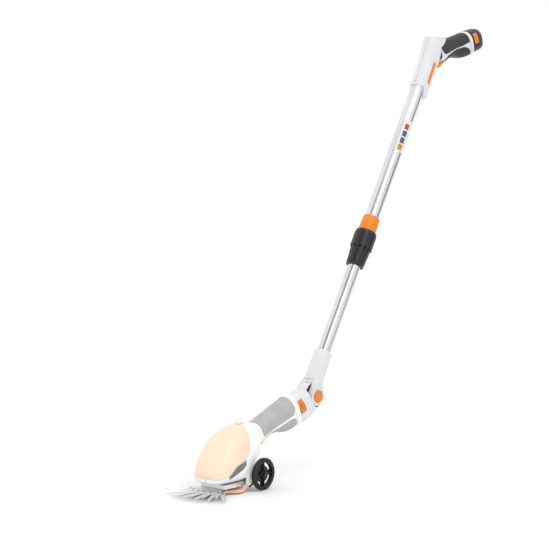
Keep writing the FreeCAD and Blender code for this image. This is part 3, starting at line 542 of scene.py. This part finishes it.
def socket_ribs():
    """Stiffening ribs along the socket, a ring round its mouth and one behind the fork."""
    shape = bmesh.new()
    start, length, count, lean = 43, 40, 10, math.radians(-1)
    for k in range(count):
        place = POLE @ Matrix.Rotation(2 * math.pi * (k + 0.5) / count, 4, "Z") @ Matrix.Translation(
            (17.8 * MM, 0, (start + length / 2) * MM)) @ Matrix.Rotation(lean, 4, "Y")
        bar(shape, (1.8, 1.8, length), place, 0.6)
    for at, radius in ((88, 17.2), (37, 18.2)):
        ring = [(radius - 1, at - 1.4), (radius + 0.5, at - 1.2), (radius + 0.9, at),
                (radius + 0.5, at + 1.2), (radius - 1, at + 1.4)]
        lathe(shape, ring, POLE, 64)
    settle("socket_ribs", shape, MATERIALS["grey_plastic"], "lower_pole")


def clamp_rings():
    """Three fine ridges round the orange clamp ring."""
    shape = bmesh.new()
    radius = 17.7
    for at in (366, 371, 376):
        ridge = [(radius - 0.5, at - 0.9), (radius + 0.35, at - 0.5), (radius + 0.35, at + 0.5),
                 (radius - 0.5, at + 0.9)]
        lathe(shape, ridge, POLE, 64)
    settle("clamp_ring_ridges", shape, MATERIALS["orange_plastic"], "upper_pole")


dark_washers()
skid_foot()
socket_ribs()
clamp_rings()


# ---------------------------------------------------------------- plain label patches

LABEL_RADIUS = 15.15 + 0.06              # outside of the tube's sticker, and a little more
PATCH_FIRST, PATCH_LAST = -48, -12       # degrees round the tube
PATCH_LENGTH = 13


def wrapped_patch(name, color, start):
    """Plain coloured patch bent round the upper tube, from start (mm) along the pole."""
    shape = bmesh.new()
    steps = 10
    angles = [math.radians(PATCH_FIRST + (PATCH_LAST - PATCH_FIRST) * k / steps) for k in range(steps + 1)]
    arc = [(LABEL_RADIUS * math.cos(a), LABEL_RADIUS * math.sin(a)) for a in angles]
    near, far = ([shape.verts.new(POLE @ (Vector((x, y, at)) * MM)) for x, y in arc]
                 for at in (start, start + PATCH_LENGTH))
    for k in range(steps):
        shape.faces.new((near[k], near[k + 1], far[k + 1], far[k]))
    bmesh.ops.solidify(shape, geom=shape.faces[:], thickness=-0.05 * MM)
    settle(name, shape, plastic(name + "_print", color, 0.35), "upper_pole")


for name, color, start in (
    ("label_patch_yellow", (0.75, 0.52, 0.08), 549),
    ("label_patch_grey", (0.22, 0.23, 0.25), 565),
    ("label_patch_blue", (0.10, 0.22, 0.48), 581),
    ("label_patch_orange", (0.72, 0.20, 0.04), 597),
):
    wrapped_patch(name, color, start)


# ---------------------------------------------------------------- studio

STUDIO_MIDDLE = Vector((0, 0.3, 0.5))


def sheet(name, half_size, material):
    """Flat square for the studio, which isn't part of the object."""
    mesh = bpy.data.meshes.new(name)
    shape = bmesh.new()
    bmesh.ops.create_grid(shape, x_segments=1, y_segments=1, size=half_size)
    shape.to_mesh(mesh)
    shape.free()
    mesh.materials.append(material)
    flat = bpy.data.objects.new(name, mesh)
    bpy.context.scene.collection.objects.link(flat)
    return flat


def card(name, place, width, height, color):
    """Plain studio flag out of the picture, which only the metal and gloss reflect."""
    flag = sheet(name, 0.5, plastic(name + "_cloth", color, 0.9))
    flag.scale = (width, height, 1)
    flag.location = place
    flag.rotation_euler = (STUDIO_MIDDLE - Vector(place)).to_track_quat("Z", "Y").to_euler()
    flag.visible_camera = flag.visible_diffuse = flag.visible_shadow = False


def sun(name, direction, strength, spread):
    light = bpy.data.lights.new(name, "SUN")
    light.energy = strength
    light.angle = math.radians(spread)
    lamp = bpy.data.objects.new(name, light)
    lamp.rotation_euler = Vector(direction).to_track_quat("-Z", "Y").to_euler()
    bpy.context.scene.collection.objects.link(lamp)


def studio():
    """Pale floor, white surroundings, two broad suns and two grey flags."""
    paint = Paint("pale_floor", (0.9, 0.9, 0.9), 0.9).set(Specular_IOR_Level=0.0)
    paint.color_between(paint.noise(3), (0.885, 0.885, 0.885), (0.9, 0.9, 0.9))
    sheet("floor", 60, paint.material)

    world = bpy.data.worlds.new("soft_studio")
    bpy.context.scene.world = world
    world.use_nodes = True
    sky = world.node_tree.nodes["Background"]
    sky.inputs["Color"].default_value = (1, 1, 1, 1)
    sky.inputs["Strength"].default_value = 1.0

    sun("key_light", (-0.55, 0.35, -1.0), 0.65, 50)
    sun("fill_light", (0.7, 0.5, -0.5), 0.12, 80)
    card("front_flag", (0.45, -1.8, 2.7), 2.0, 1.5, (0.22, 0.22, 0.23))
    card("side_flag", (2.4, 2.8, 0.6), 1.6, 1.6, (0.16, 0.16, 0.17))
    bpy.context.scene.view_settings.view_transform = "Standard"


def camera():
    """Camera at three metres, forty degrees round from the front towards the right, five degrees up."""
    around, up, distance = math.radians(40), math.radians(5), 3.0
    target = Vector((0, 0.08887, 0.39081))
    back = Vector((math.sin(around) * math.cos(up), -math.cos(around) * math.cos(up), math.sin(up)))
    data = bpy.data.cameras.new("camera")
    data.sensor_width = 36
    data.lens = 104.26
    eye = bpy.data.objects.new("camera", data)
    eye.location = target + back * distance
    eye.rotation_euler = back.to_track_quat("Z", "Y").to_euler()
    bpy.context.scene.collection.objects.link(eye)
    bpy.context.scene.camera = eye


camera()
studio()
